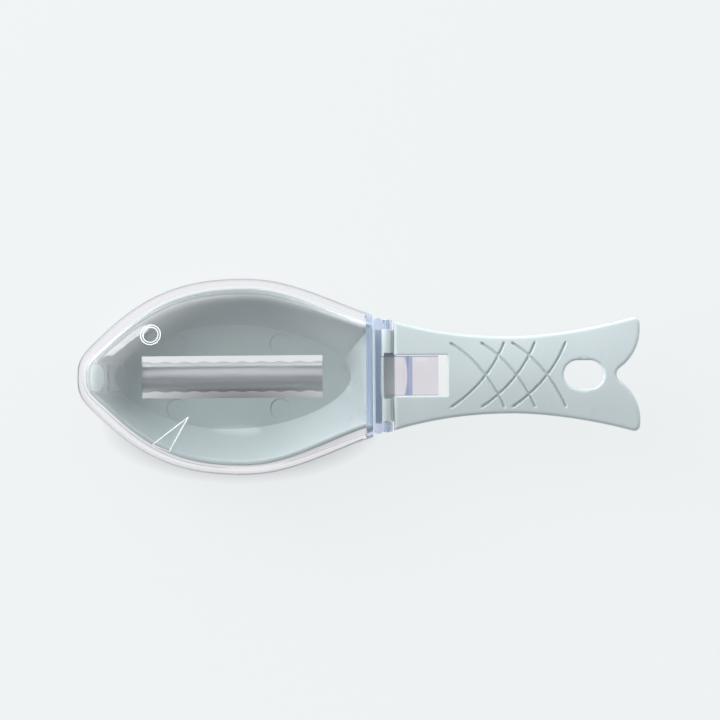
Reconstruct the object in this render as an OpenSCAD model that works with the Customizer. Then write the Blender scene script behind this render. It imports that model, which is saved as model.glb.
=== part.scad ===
/* [Overall] */
// Length from the nose to the tips of the tail
length = 215; // [205:1:235]
// Width of the head at its widest
head_w = 75.2; // [68:0.2:84]
// Distance of the widest place from the nose
head_x = 64; // [58:1:70]
// Width at the waist of the handle
waist_w = 29.4; // [27:0.2:36]
// Distance of the waist from the nose
waist_x = 165.9; // [160:0.5:170]
// Width across the tips of the tail
tail_w = 45.6; // [40:0.2:52]

/* [Head outline] */
// Distance of the lid's crown from the nose
crown_x = 60; // [54:1:66]
// Distance of the cheek, where the snub nose meets the flank, from the nose
cheek_x = 10.4; // [8:0.2:13]
// Half width at the cheek
cheek_y = 16.9; // [15:0.1:19]
// Direction of the outline at the cheek, in degrees from the axis
cheek_angle = 43; // [38:1:50]
// Fullness of the nose in front of the cheek
nose_full = 7.4; // [5:0.2:9]
// Fullness of the flank behind the cheek
flank_full = 23; // [16:1:28]
// Fullness of the shoulder from the widest place towards the neck
shoulder_full = 30; // [24:1:36]
// Fullness of the hollow of the neck towards the waist
neck_full = 54.4; // [45:1:60]

/* [Heights] */
// Height of the bowl floor's underside above the tips of the teeth
floor_z = 3.8; // [3:0.1:5]
// Height of the bowl's rim above the tips of the teeth
rim_z = 19; // [17:0.5:22]
// Height of the crown of the lid above the bowl's rim
dome_h = 16; // [12:0.5:20]
// Height of the lid's crown above the rim where the dome ends at the neck
dome_end_h = 8.5; // [7:0.5:10]
// How far the lid's edge hangs below the rim
skirt_drop = 3.5; // [2.5:0.1:4.5]
// Height of the hinge axis above the rim
hinge_rise = 1; // [0.6:0.1:2]

/* [Bowl] */
// Thickness of the bowl's wall
wall = 2; // [1.6:0.1:2.6]
// Thickness of the bowl's floor
floor_t = 2.4; // [2.2:0.1:3]
// How far the rim lies inside the lid's outline
overhang = 3.9; // [3.7:0.1:4.5]
// Distance of the floor's front end from the nose
floor_front_x = 14; // [13:0.5:16]
// Length of the floor behind the slot
floor_run = 10.9; // [8:0.1:12]
// Width of the floor at its widest
floor_w = 40.4; // [36:0.2:44]
// Diameter of the four faint round marks in the floor
mark_d = 8; // [5:0.5:8]

/* [Slot and blade] */
// Distance of the slot's front end from the nose
slot_x = 24.4; // [23:0.2:28]
// Length of the slot
slot_l = 69.5; // [58:0.5:70]
// Width of the slot
slot_w = 16.3; // [15:0.1:18]
// Width of the blade's arch over its teeth
blade_w = 12; // [10:0.2:12.4]
// Height of the blade's arch
blade_h = 4.9; // [4.4:0.1:5]
// Thickness of the blade's steel
blade_t = 0.8; // [0.6:0.1:1]
// Distance from one tooth to the next
tooth_pitch = 7.4; // [6:0.1:9]
// Depth of the scallops between the teeth
scallop = 1.5; // [1:0.1:2]
// Length of each blade end that is held in the floor
blade_tail = 4; // [3:0.5:5]

/* [Hinge] */
// Distance of the hinge axis from the back end of the slot
neck_run = 24.5; // [23.7:0.1:25.1]
// Diameter of the knuckles
knuckle_d = 3.5; // [3:0.1:3.6]
// Diameter of the stub pins
pin_d = 2.2; // [1.8:0.1:2.4]
// Diameter of the lid's ears
ear_d = 4.2; // [4:0.1:4.6]
// Running clearance of the pins in the ears, all round
pin_gap = 0.06; // [0.04:0.01:0.1]
// Clearance between the sides of the pieces that turn past each other
side_gap = 0.25; // [0.2:0.05:0.3]

/* [Lid] */
// Thickness of the lid's dome
lid_t = 2; // [1.6:0.1:2.4]
// Thickness of the dome's end wall
end_t = 2.5; // [2:0.1:2.8]
// Thickness of the wall that carries the ears and the lever
web_t = 2.2; // [2:0.1:2.3]
// Steepness of the dome's flanks, as the power of its section
dome_power = 3.3; // [2.6:0.1:4]
// Roundness of the dome's edge, from 0.5 for a side that stands upright to 1 for a plain crown
dome_edge = 0.5; // [0.5:0.05:1]
// Distance of the eye ring from the nose
eye_x = 29.4; // [26:0.2:32]
// Distance of the eye ring from the axis
eye_y = 16; // [14:0.5:17.5]
// Diameter of the eye ring
eye_d = 8; // [6:0.2:8.4]
// Thickness of the eye ring's wall
eye_wall = 1; // [0.7:0.1:1.4]
// Height of the eye ring above the dome
eye_rise = 0.9; // [0.5:0.1:1.5]
// Depth of the mouth mark
mouth_depth = 0.9; // [0.5:0.1:1.1]
// Distance of the end of the nose catch's frame from the nose
catch_x = 19.8; // [18:0.2:22]
// Width of the nose catch's frame
catch_w = 11.6; // [10:0.2:13]

/* [Lever] */
// Clearance between the lever's tip and the back edge of the window
tip_gap = 3.6; // [1:0.1:5]
// Width of the lever
lever_w = 15.2; // [14:0.2:15.2]
// Thickness of the lever
lever_t = 1.8; // [1.5:0.1:2]

/* [Handle] */
// Gap between the lid's ears and the front edge of the handle
handle_gap = 0.6; // [0.4:0.1:1]
// Thickness of the handle at its front
handle_t = 5.4; // [4.6:0.2:8]
// Thickness of the handle at its tail
tail_t = 4.4; // [3.6:0.2:6]
// Distance of the window's back edge from the hinge axis
window_l = 23.3; // [20.6:0.1:23.6]
// Distance of the middle of the hang hole from the tips of the tail
hole_back = 21.3; // [20:0.1:24]
// Length of the hang hole
hole_l = 15.6; // [12:0.2:17]
// Width of the hang hole
hole_w = 11.1; // [8:0.1:12]
// Radius of the round end of each tail lobe
lobe_r = 18.5; // [18:0.1:20]
// Distance of the middle of each lobe's round end from the axis
lobe_y = 17.5; // [16.5:0.1:18]
// Radius at the bottom of the tail's notch
notch_r = 3; // [2.4:0.1:4]
// Radius of the tips of the tail
tip_r = 2.3; // [1.5:0.1:3]

/* [Scale pattern] */
// Number of grooves in each direction
groove_n = 3; // [1:1:3]
// Distance from one groove to the next
groove_pitch = 11.7; // [10:0.1:12]
// Radius of each groove's curve
groove_r = 52; // [40:1:80]
// Width of the grooves
groove_w = 1.1; // [0.8:0.1:1.4]
// Depth of the grooves
groove_depth = 0.8; // [0.5:0.1:1]
// Distance along the axis from the window to the first groove
groove_start = 1.4; // [0.8:0.1:4]
// Distance along the axis that each groove covers
groove_run = 20; // [16:0.5:22]
// Distance across the handle that each groove covers
groove_span = 24; // [20:0.5:25]

/* [Hidden] */
body_color = [0.76, 0.82, 0.83];
lid_color = [0.86, 0.88, 0.95, 0.35];
steel_color = [0.75, 0.76, 0.77];
eps = 0.01;
big = 3 * length;
fn_fine = 64;
hinge_x = slot_x + slot_l + neck_run;
floor_back_x = slot_x + slot_l + floor_run;
window_x = hinge_x + window_l;

// The outline of the head and the handle, as cubic curves through a few places
function bez(p, t) =
    pow(1 - t, 3) * p[0] + 3 * pow(1 - t, 2) * t * p[1] + 3 * (1 - t) * t * t * p[2] + t * t * t * p[3];
function bez_dir(p, t) =
    3 * pow(1 - t, 2) * (p[1] - p[0]) + 6 * (1 - t) * t * (p[2] - p[1]) + 3 * t * t * (p[3] - p[2]);
function mix(a, b, t) = a + (b - a) * t;
function smooth(t) = t * t * (3 - 2 * t);

cheek = [cheek_x, cheek_y];
cheek_dir = [cos(cheek_angle), sin(cheek_angle)];
half_w = head_w / 2;
waist_h = waist_w / 2;
tail_h = tail_w / 2;
blank_x = length + 1;
cheek_full = 11;
widest_full = 22;
tail_full = 15;
flare = [14, 4.4];
nose_curve = [[0, 0], [0, nose_full], cheek - cheek_full * cheek_dir, cheek];
flank_curve = [cheek, cheek + flank_full * cheek_dir, [head_x - widest_full, half_w], [head_x, half_w]];
back_curve =
    [[head_x, half_w], [head_x + shoulder_full, half_w], [waist_x - neck_full, waist_h], [waist_x, waist_h]];
tail_curve =
    [[waist_x, waist_h], [waist_x + tail_full, waist_h],
        [blank_x - flare[0], tail_h - flare[1]], [blank_x, tail_h]];

// Where a curve reaches a distance from the nose, by halving, and the outline's half width there
function curve_t(p, x, lo = 0, hi = 1, n = 22) =
    n == 0 ? (lo + hi) / 2
    : bez(p, (lo + hi) / 2)[0] < x ? curve_t(p, x, (lo + hi) / 2, hi, n - 1)
    : curve_t(p, x, lo, (lo + hi) / 2, n - 1);
function curve_for(x) =
    x < cheek_x ? nose_curve : x < head_x ? flank_curve : x < waist_x ? back_curve : tail_curve;
function half_at(x) = bez(curve_for(x), curve_t(curve_for(x), x))[1];
function unit(v) = v / norm(v);

// Places along the head's outline from the nose to a distance, each with its outward direction
function side(x_end, gap_front, gap_back) = [
    for (c = [[nose_curve, 6, 1], [flank_curve, 9, 1], [back_curve, 12, curve_t(back_curve, x_end)]])
        for (i = [0 : c[1] - 1])
            let (t = c[2] * i / c[1], at = bez(c[0], t), d = unit(bez_dir(c[0], t)), out = [-d[1], d[0]])
            at - mix(gap_front, gap_back, smooth(min(1, max(0, (at[0] - head_x) / (x_end - head_x))))) * out,
    [x_end, half_at(x_end) - gap_back]
];
function mirrored(points) = [for (p = points) [p[0], -p[1]]];
function flipped(points) = [for (i = [len(points) - 1 : -1 : 0]) points[i]];
function loop(points) = concat(points, flipped(mirrored([for (i = [1 : len(points) - 1]) points[i]])));

// A solid through rings of equally many points, each anticlockwise seen from the side it is stacked to
module rings(list) {
    n = len(list[0]);
    polyhedron(
        points = [for (r = list) for (p = r) p],
        faces = concat(
            [[for (i = [0 : n - 1]) i]],
            [for (k = [0 : len(list) - 2]) for (i = [0 : n - 1])
                let (a = k * n + i, b = k * n + (i + 1) % n) [a, a + n, b]],
            [for (k = [0 : len(list) - 2]) for (i = [0 : n - 1])
                let (a = k * n + i, b = k * n + (i + 1) % n) [b, a + n, b + n]],
            [[for (i = [n - 1 : -1 : 0]) (len(list) - 1) * n + i]]
        )
    );
}

// Heights and places that follow from the sizes above
floor_top = floor_z + floor_t;
hinge_z = rim_z + hinge_rise;
skirt_z = rim_z - skirt_drop;
ear_r = ear_d / 2;
handle_top = hinge_z + knuckle_d / 2 + 0.25;
neck_top = hinge_z - ear_r - 0.8;
dome_end = hinge_x - 5.3;
web_x = hinge_x - 2 - web_t;
ear_t = 3.6;
ear_out = half_at(hinge_x) - 0.45;
knuckle_out = ear_out - ear_t - side_gap;
window_w = lever_w + 0.6;
knuckle_in = window_w / 2 + 0.8;
rim_gap = 0.4;
swing_gap = 1;
handle_x = hinge_x + ear_r + handle_gap;
lever_x = window_x - tip_gap;
hole_x = length - hole_back;

// Crown of the lid and of the space under it
nose_power = 3.6;
function crown(x, x_nose, h, h_end, x_end) =
    x < crown_x ? h * pow(1 - pow((crown_x - x) / (crown_x - x_nose), nose_power), dome_edge)
    : h - (h - h_end) * pow((x - crown_x) / (x_end - crown_x), 2);

function flank(out) = pow(1 - pow(out, dome_power), dome_edge);

// A closed dome over the head's outline, drawn in by a gap and lowered by a thickness
across = 20;
module dome(gap, down, z_low, x_end) {
    plan = side(x_end, gap, gap);
    h = dome_h + skirt_drop - down;
    h_end = dome_end_h + skirt_drop - down;
    n = len(plan) - 1;
    m = across + 1;
    polyhedron(
        points = concat(
            [[plan[0][0], 0, z_low]],
            [for (i = [1 : n]) for (j = [0 : across])
                let (e = sin(180 * j / across - 90))
                [plan[i][0], e * plan[i][1],
                    z_low + crown(plan[i][0], plan[0][0], h, h_end, x_end) * flank(abs(e))]]
        ),
        faces = concat(
            [for (j = [0 : across - 1]) [0, 2 + j, 1 + j]],
            [for (i = [0 : n - 2]) for (j = [0 : across - 1])
                let (a = 1 + i * m + j) [a, a + 1, a + m + 1]],
            [for (i = [0 : n - 2]) for (j = [0 : across - 1])
                let (a = 1 + i * m + j) [a, a + m + 1, a + m]],
            [[0, 1, m]],
            [for (i = [0 : n - 2]) let (a = 1 + i * m) [a, a + m, a + m + across]],
            [for (i = [0 : n - 2]) let (a = 1 + i * m) [a, a + m + across, a + across]],
            [[for (j = [0 : across]) 1 + (n - 1) * m + j]]
        )
    );
}

// Height of the lid's outer face at a place, and its outward direction
function dome_z(x, y) =
    skirt_z + crown(x, 0, dome_h + skirt_drop, dome_end_h + skirt_drop, dome_end)
        * flank(min(1, abs(y) / half_at(x)));
function dome_out(x, y) =
    unit([dome_z(x - 0.5, y) - dome_z(x + 0.5, y), dome_z(x, y - 0.5) - dome_z(x, y + 0.5), 1]);

// The bowl, one skin through rings from the floor's underside over the rim to the floor's upper face
back_points = 3;
rim_steps = 6;
bulge = [0.68, 0.36];
floor_mid = head_x - 6;
floor_h = floor_w / 2;
floor_ends = [7.5, 9];
floor_full = [24, 26];
floor_round = 1.5;
floor_front =
    [[floor_front_x, 0], [floor_front_x, floor_ends[0]],
        [floor_mid - floor_full[0], floor_h], [floor_mid, floor_h]];
floor_back =
    [[floor_mid, floor_h], [floor_mid + floor_full[1], floor_h],
        [floor_back_x, floor_ends[1]], [floor_back_x, 0]];
function floor_point(curve, t, out_by) =
    let (d = unit(bez_dir(curve, t))) bez(curve, t) + out_by * [-d[1], d[0]];
function floor_side(out_by) = concat(
    [for (i = [0 : 14]) floor_point(floor_front, i / 15, out_by)],
    [for (i = [0 : 15]) floor_point(floor_back, i / 16, out_by)]
);
neck_overhang = overhang + 1;
function rim_side(in_by, spread = 0) =
    let (x_end = dome_end - in_by, p = side(x_end, overhang + in_by, neck_overhang + in_by - spread),
        w = p[len(p) - 1][1])
    concat(p, [for (k = [1 : back_points]) [x_end, w * (1 - k / (back_points + 0.5))]]);
function ring_between(low, high, z_low, z_high, t) =
    let (g = 2 * t * (1 - t) * bulge[0] + t * t, s = 2 * t * (1 - t) * bulge[1] + t * t)
    [for (p = flipped(loop([for (i = [0 : len(low) - 1]) mix(low[i], high[i], g)])))
        [p[0], p[1], mix(z_low, z_high, s)]];

module bowl() {
    rings(concat(
        [for (k = [0 : rim_steps])
            ring_between(floor_side(floor_round), rim_side(0), floor_z, rim_z, k / rim_steps)],
        [for (k = [rim_steps : -1 : 0])
            ring_between(floor_side(0), rim_side(wall), floor_top, rim_z, k / rim_steps)]
    ));
}

module tooth_arch(w, h, t, l) {
    r = (w * w / 4 + h * h) / (2 * h);
    translate([0, 0, h - r]) rotate([0, 90, 0]) difference() {
        cylinder(r = r, h = l, $fn = fn_fine);
        translate([0, 0, -1]) cylinder(r = r - t, h = l + 2, $fn = fn_fine);
    }
}

// The blade's arch over a length, cut off level at a height, grown all round by a gap
module arch(x, l, low, gap) {
    intersection() {
        translate([x, 0, gap]) tooth_arch(blade_w + 2 * gap, blade_h, blade_t + 2 * gap, l);
        translate([x - 1, -blade_w, low]) cube([l + 2, 2 * blade_w, blade_h + 1]);
    }
}

socket_z = 0.9;
tail_low = socket_z + 1;
socket_gap = 0.05;
socket_l = blade_tail + 2;
socket_side = 1.4;

module blade() color(steel_color) translate([-length / 2, 0, 0]) {
    scallop_w = tooth_pitch - 1.6;
    scallop_r = (scallop_w * scallop_w / 4 + scallop * scallop) / (2 * scallop);
    n = floor((slot_l - 1) / tooth_pitch);
    start = slot_x + (slot_l - n * tooth_pitch) / 2;
    difference() {
        arch(slot_x, slot_l, 0, 0);
        for (i = [0 : n - 1])
            translate([start + (i + 0.5) * tooth_pitch, 0, scallop - scallop_r])
                rotate([90, 0, 0]) cylinder(r = scallop_r, h = 2 * blade_w, center = true, $fn = fn_fine);
    }
    arch(slot_x - blade_tail, blade_tail + 1, tail_low, 0);
    arch(slot_x + slot_l - 1, blade_tail + 1, tail_low, 0);
}

// A block under the floor that holds one end of the blade
module socket_block(x) {
    translate([x, -blade_w / 2 - socket_side, socket_z])
        cube([socket_l, blade_w + 2 * socket_side, floor_z - socket_z + 0.5]);
}
module socket_hollow(x) arch(x, blade_tail, tail_low - socket_gap, socket_gap);

// The handle, one skin through rounded sections along its length
section_power = 3;
around = 24;
function rounded(v) = sign(v) * pow(abs(v), 2 / section_power);
function handle_ring(x, inset) =
    let (w = half_at(x) - inset, t = mix(handle_t, tail_t, (x - handle_x) / (blank_x - handle_x)))
    [for (k = [0 : around - 1])
        let (a = 360 * (k + 0.5) / around)
        [x, w * rounded(cos(a)), handle_top - t / 2 + (t / 2 - inset) * rounded(sin(a))]];
module handle_blank() {
    steps = 24;
    rings(concat(
        [handle_ring(handle_x, 0.7)],
        [for (i = [0 : steps]) handle_ring(mix(handle_x + 0.7, blank_x, i / steps), 0)]
    ));
}

// Where the round tip of a tail lobe touches both the lobe's end and the handle's side, by halving
lobe = [length - lobe_r, lobe_y];
function side_slope(x) = half_at(x + 0.5) - half_at(x - 0.5);
function tip_y(x) = lobe_y + sqrt(max(0, pow(lobe_r - tip_r, 2) - pow(x - lobe[0], 2)));
function tip_x(lo, hi, n = 20) =
    let (x = (lo + hi) / 2)
    n == 0 ? x
    : half_at(x) - tip_r * norm([1, side_slope(x)]) < tip_y(x) ? tip_x(x, hi, n - 1)
    : tip_x(lo, x, n - 1);

// What the tail's end cuts away: all outside the two round lobes and the notch between them, and their corners
module tail_cut() {
    notch_x = lobe[0] + sqrt(pow(lobe_r + notch_r, 2) - pow(lobe[1], 2));
    x = tip_x(lobe[0], length - tip_r);
    tip = [x, tip_y(x)];
    ahead = unit(tip - lobe);
    beside = unit([-side_slope(x), 1]);
    linear_extrude(height = 3 * handle_top) {
        difference() {
            translate([lobe[0], -tail_w]) square([lobe_r + 10, 2 * tail_w]);
            for (s = [-1, 1]) translate([lobe[0], s * lobe[1]]) circle(r = lobe_r, $fn = 96);
            difference() {
                polygon([lobe, [notch_x, 0], [lobe[0], -lobe[1]]]);
                translate([notch_x, 0]) circle(r = notch_r, $fn = fn_fine);
            }
        }
        for (s = [0, 1]) mirror([0, s, 0]) difference() {
            polygon([tip, tip + 3 * tip_r * ahead, tip + 4 * tip_r * unit(ahead + beside),
                tip + 3 * tip_r * beside]);
            translate(tip) circle(r = tip_r, $fn = fn_fine);
        }
    }
}

module groove(i) {
    a = [window_x + groove_start + i * groove_pitch, groove_span / 2];
    b = a + [groove_run, -groove_span];
    chord = norm(b - a);
    toward = unit(b - a);
    middle = (a + b) / 2 - sqrt(groove_r * groove_r - chord * chord / 4) * [-toward[1], toward[0]];
    first = atan2(b[1] - middle[1], b[0] - middle[0]);
    last = atan2(a[1] - middle[1], a[0] - middle[0]);
    translate([middle[0], middle[1], handle_top]) rotate([0, 0, first])
        rotate_extrude(angle = last - first, $fn = fn_fine) translate([groove_r, 0])
            polygon([[-groove_w, groove_depth], [groove_w, groove_depth],
                [groove_w / 4, -groove_depth], [-groove_w / 4, -groove_depth]]);
}

module hang_hole() {
    straight = (hole_l - hole_w) / 2;
    translate([hole_x, 0, -1]) linear_extrude(height = 3 * handle_top) {
        square([2 * straight, hole_w], center = true);
        for (s = [-1, 1]) translate([s * straight, 0]) circle(d = hole_w, $fn = fn_fine);
    }
}

// The neck between the bowl and the handle, and the bridge that crosses it under the lever
bridge_back = 3.6;
bridge_drop = 4.6;
neck_low = hinge_z - 11.5;
bridge_low = neck_low + 4;
rail_w = knuckle_out - window_w / 2;
rail_end = hinge_x + 11;
module neck() {
    translate([0, knuckle_out, 0]) rotate([90, 0, 0]) linear_extrude(height = 2 * knuckle_out)
        polygon([[dome_end - 6, neck_low], [hinge_x + 1.7, bridge_low],
            [hinge_x + 1.7, hinge_z - bridge_drop - 1.25], [hinge_x + bridge_back, hinge_z - bridge_drop - 0.3],
            [hinge_x + bridge_back, hinge_z - bridge_drop], [hinge_x + bridge_back - 0.5, neck_top],
            [dome_end - 2, neck_top]]);
    for (s = [-1, 1]) translate([0, s * (knuckle_out - rail_w / 2) + rail_w / 2, 0])
        rotate([90, 0, 0]) linear_extrude(height = rail_w)
            polygon([[hinge_x, bridge_low - 0.5], [rail_end, handle_top - handle_t + 0.5],
                [rail_end, handle_top - handle_t + 2], [hinge_x, neck_top]]);
}

rib_back = 0.9;
knuckle_inset = 0.1;
module knuckles() {
    translate([hinge_x, 0, hinge_z]) difference() {
        union() {
            rotate([90, 0, 0]) cylinder(d = knuckle_d, h = 2 * knuckle_out, center = true, $fn = fn_fine);
            translate([knuckle_inset - knuckle_d / 2, -knuckle_out, neck_top - hinge_z - 0.5])
                cube([knuckle_d - 2 * knuckle_inset, 2 * knuckle_out, hinge_z - neck_top + 0.5]);
        }
        translate([-rib_back, -knuckle_in, neck_top - hinge_z - 1]) cube([knuckle_d, 2 * knuckle_in, big]);
    }
    for (s = [-1, 1]) translate([hinge_x, s * (knuckle_out + ear_t / 2), hinge_z]) rotate([90, 0, 0])
        cylinder(d = pin_d, h = ear_t + 1, center = true, $fn = fn_fine);
}

// The small shelf inside the nose of the bowl, which the lid's catch rests on
shelf_t = 1.6;
shelf_r = 8.45;
shelf_x = 2.65;
module nose_shelf() {
    intersection() {
        translate([0, 0, rim_z - shelf_t]) linear_extrude(height = shelf_t)
            polygon(loop(rim_side(wall / 2)));
        translate([shelf_x, 0, rim_z - 2 * shelf_t])
            cylinder(r = shelf_r, h = 3 * shelf_t, $fn = fn_fine);
    }
}

mark_in = [13.5, 16.2];
mark_gap = 0.3;
mark_sink = 0.2;
module body() color(body_color) translate([-length / 2, 0, 0]) {
    difference() {
        union() {
            bowl();
            socket_block(slot_x - socket_l);
            socket_block(slot_x + slot_l);
        }
        translate([slot_x, -slot_w / 2, -1]) cube([slot_l, slot_w, rim_z]);
        socket_hollow(slot_x - blade_tail);
        socket_hollow(slot_x + slot_l);
        for (x = [slot_x + mark_in[0], slot_x + slot_l - mark_in[1]]) for (s = [-1, 1])
            translate([x, s * ((slot_w + mark_d) / 2 + mark_gap), floor_top - mark_sink])
                cylinder(d = mark_d, h = 1, $fn = fn_fine);
    }
    difference() {
        handle_blank();
        translate([hinge_x, -window_w / 2, 0]) cube([window_x - hinge_x, window_w, 2 * handle_top]);
        hang_hole();
        tail_cut();
        for (i = [0 : groove_n - 1]) {
            groove(i);
            mirror([0, 1, 0]) groove(i);
        }
    }
    neck();
    knuckles();
    nose_shelf();
}

// The lid's wall, measured level where the flanks meet the edge
foot_gap = lid_t * 1.16;
module shell() {
    difference() {
        dome(0, 0, skirt_z, dome_end);
        dome(foot_gap, lid_t, skirt_z - eps, dome_end - end_t);
        translate([0, 0, skirt_z - 1]) linear_extrude(height = skirt_drop + 1)
            polygon(loop(rim_side(-rim_gap, swing_gap)));
    }
}

// The frame and the snap tongue that hang from the dome at the nose
frame_t = 0.8;
catch_front = 6.5;
snap_gap = 0.4;
snap_x = shelf_x + shelf_r + snap_gap;
snap_t = 1.4;
snap_side = 1.2;
module catch() {
    intersection() {
        dome(lid_t / 2, lid_t / 2, skirt_z, dome_end);
        union() {
            difference() {
                translate([catch_front, -catch_w / 2, rim_z]) cube([catch_x - catch_front, catch_w, dome_h]);
                translate([catch_front - 1, -catch_w / 2 + frame_t, 0])
                    cube([catch_x - catch_front + 1 - frame_t, catch_w - 2 * frame_t, big]);
            }
            translate([snap_x, -catch_w / 2 + snap_side, skirt_z + 0.1])
                cube([snap_t, catch_w - 2 * snap_side, dome_h]);
        }
    }
}

module eye_ring() {
    out = dome_out(eye_x, eye_y);
    translate([eye_x, eye_y, dome_z(eye_x, eye_y)]) rotate([0, acos(out[2]), atan2(out[1], out[0])])
        difference() {
            translate([0, 0, -lid_t / 2]) cylinder(d = eye_d, h = lid_t / 2 + eye_rise, $fn = fn_fine);
            cylinder(d = eye_d - 2 * eye_wall, h = eye_rise + 1, $fn = fn_fine);
        }
}

// The three-cornered mark of the mouth, sunk into the dome's outer face
mouth = [[43.4, -15], [29.6, -25.3], [35.8, -28]];
module mouth_mark() {
    difference() {
        translate([0, 0, rim_z - 1]) linear_extrude(height = dome_h + 2) polygon(mouth);
        dome(mouth_depth * 1.1, mouth_depth, skirt_z - 1, dome_end);
    }
}

// The web behind the dome, with the ears that the stub pins turn in
lever_rise = 2.4;
web_top = hinge_z + lever_rise + 0.6;
link_t = 2;
module web() {
    web_w = 2 * half_at(web_x + web_t) - 1;
    translate([web_x, -web_w / 2, hinge_z - ear_r]) cube([web_t, web_w, web_top - hinge_z + ear_r]);
    translate([dome_end - 0.5, -web_w / 2, rim_z + 0.2]) cube([web_x - dome_end + 1, web_w, link_t]);
    for (s = [-1, 1]) translate([0, s * (ear_out - ear_t / 2), 0]) difference() {
        union() {
            translate([hinge_x, 0, hinge_z]) rotate([90, 0, 0])
                cylinder(r = ear_r, h = ear_t, center = true, $fn = fn_fine);
            translate([web_x + web_t - 0.5, -ear_t / 2, hinge_z - ear_r])
                cube([hinge_x - web_x - web_t + 0.5, ear_t, ear_d]);
        }
        translate([hinge_x, 0, hinge_z]) rotate([90, 0, 0])
            cylinder(d = pin_d + 2 * pin_gap, h = 2 * ear_t, center = true, $fn = fn_fine);
    }
}

// The lever: a root over the hinge, a step down, and a pad with a lip in the window
step_x = hinge_x + 6.4;
step_t = 2.3;
lip_l = 2.4;
lip_rise = 0.9;
pad_low = hinge_z + 0.2;
module lever() {
    root_low = hinge_z + lever_rise;
    translate([0, lever_w / 2, 0]) rotate([90, 0, 0]) linear_extrude(height = lever_w)
        polygon([[web_x, root_low], [step_x, root_low], [step_x, pad_low], [lever_x, pad_low],
            [lever_x, pad_low + lever_t + lip_rise], [lever_x - lip_l, pad_low + lever_t + lip_rise],
            [lever_x - lip_l, pad_low + lever_t], [step_x + step_t, pad_low + lever_t],
            [step_x + step_t, root_low + lever_t], [web_x, root_low + lever_t]]);
}

module lid() color(lid_color) translate([-length / 2, 0, 0]) {
    difference() {
        shell();
        mouth_mark();
    }
    eye_ring();
    catch();
    web();
    lever();
}

body();
blade();
lid();
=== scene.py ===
import math

import bmesh
import bpy
import numpy as np
from mathutils import Matrix, Vector
from mathutils.geometry import delaunay_2d_cdt


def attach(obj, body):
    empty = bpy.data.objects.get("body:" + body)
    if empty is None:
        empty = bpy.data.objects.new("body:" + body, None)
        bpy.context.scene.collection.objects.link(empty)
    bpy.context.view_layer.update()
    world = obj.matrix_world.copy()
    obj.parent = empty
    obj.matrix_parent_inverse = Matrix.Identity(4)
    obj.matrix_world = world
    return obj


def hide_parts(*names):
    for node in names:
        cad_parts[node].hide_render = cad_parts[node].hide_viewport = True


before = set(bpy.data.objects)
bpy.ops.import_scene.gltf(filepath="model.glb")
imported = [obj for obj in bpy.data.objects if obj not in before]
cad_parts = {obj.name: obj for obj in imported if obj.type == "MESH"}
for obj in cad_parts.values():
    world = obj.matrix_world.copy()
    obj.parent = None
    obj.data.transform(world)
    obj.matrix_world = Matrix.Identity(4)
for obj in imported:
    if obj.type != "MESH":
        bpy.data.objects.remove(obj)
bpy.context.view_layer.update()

# Sizes in millimetres, with X from the nose and Z from the tips of the teeth, as in part.scad
LENGTH, HEAD_W, HEAD_X, WAIST_W, WAIST_X, TAIL_W = 215, 75.2, 64, 29.4, 165.9, 45.6
CROWN_X, CHEEK, CHEEK_ANGLE = 60, (10.4, 16.9), math.radians(43)
NOSE_FULL, FLANK_FULL, SHOULDER_FULL, NECK_FULL = 7.4, 23, 30, 54.4
CHEEK_FULL, WIDEST_FULL, TAIL_FULL, FLARE = 11, 22, 15, (14, 4.4)
FLOOR_Z, RIM_Z, DOME_H, DOME_END_H, SKIRT_DROP = 3.8, 19, 16, 8.5, 3.5
WALL, FLOOR_T, OVERHANG, FLOOR_FRONT_X, FLOOR_BACK_X, FLOOR_W, MARK_D = 2, 2.4, 3.9, 14, 104.8, 40.4, 8
SLOT_X, SLOT_L, SLOT_W = 24.4, 69.5, 16.3
BLADE_W, BLADE_H, BLADE_T, TOOTH_PITCH, SCALLOP, BLADE_TAIL = 12, 4.9, 0.8, 7.4, 1.5, 4
HINGE_X, KNUCKLE_D, PIN_D, EAR_D, PIN_GAP, SIDE_GAP = 118.4, 3.5, 2.2, 4.2, 0.06, 0.25
LID_T, END_T, WEB_T, DOME_POWER, DOME_EDGE, NOSE_POWER = 2, 2.5, 2.2, 3.3, 0.5, 3.6
EYE, EYE_D, EYE_WALL, EYE_RISE = (29.4, 16.0), 8, 1, 0.9
MOUTH = [(43.4, -15.0), (29.6, -25.3), (35.8, -28.0)]
CATCH_X, CATCH_W, FRAME_T, CATCH_FRONT = 19.8, 11.6, 0.8, 6.5
TIP_GAP, LEVER_W, LEVER_T, LEVER_RISE = 3.6, 15.2, 1.8, 2.4
SHELF_X, SHELF_R, SHELF_T, SNAP_GAP, SNAP_T, SNAP_SIDE = 2.65, 8.45, 1.6, 0.4, 1.4, 1.2
HANDLE_T, TAIL_T, WINDOW_X = 5.4, 4.4, 141.7
HOLE_BACK, HOLE_L, HOLE_W, LOBE_R, LOBE_Y, NOTCH_R, TIP_R = 21.5, 15.3, 10.8, 18.5, 17.5, 3, 2.3
GROOVE_N, GROOVE_PITCH, GROOVE_R, GROOVE_START, GROOVE_RUN, GROOVE_SPAN = 3, 11.7, 52, 1.4, 20, 24
HINGE_RISE, HANDLE_RISE, NECK_GAP, LEVER_GAP, HANDLE_GAP = 1, 0.25, 0.8, 0.3, 0.6
DOME_BACK, WEB_BACK, STEP_FRONT = 5.3, 2, 6.4

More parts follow.
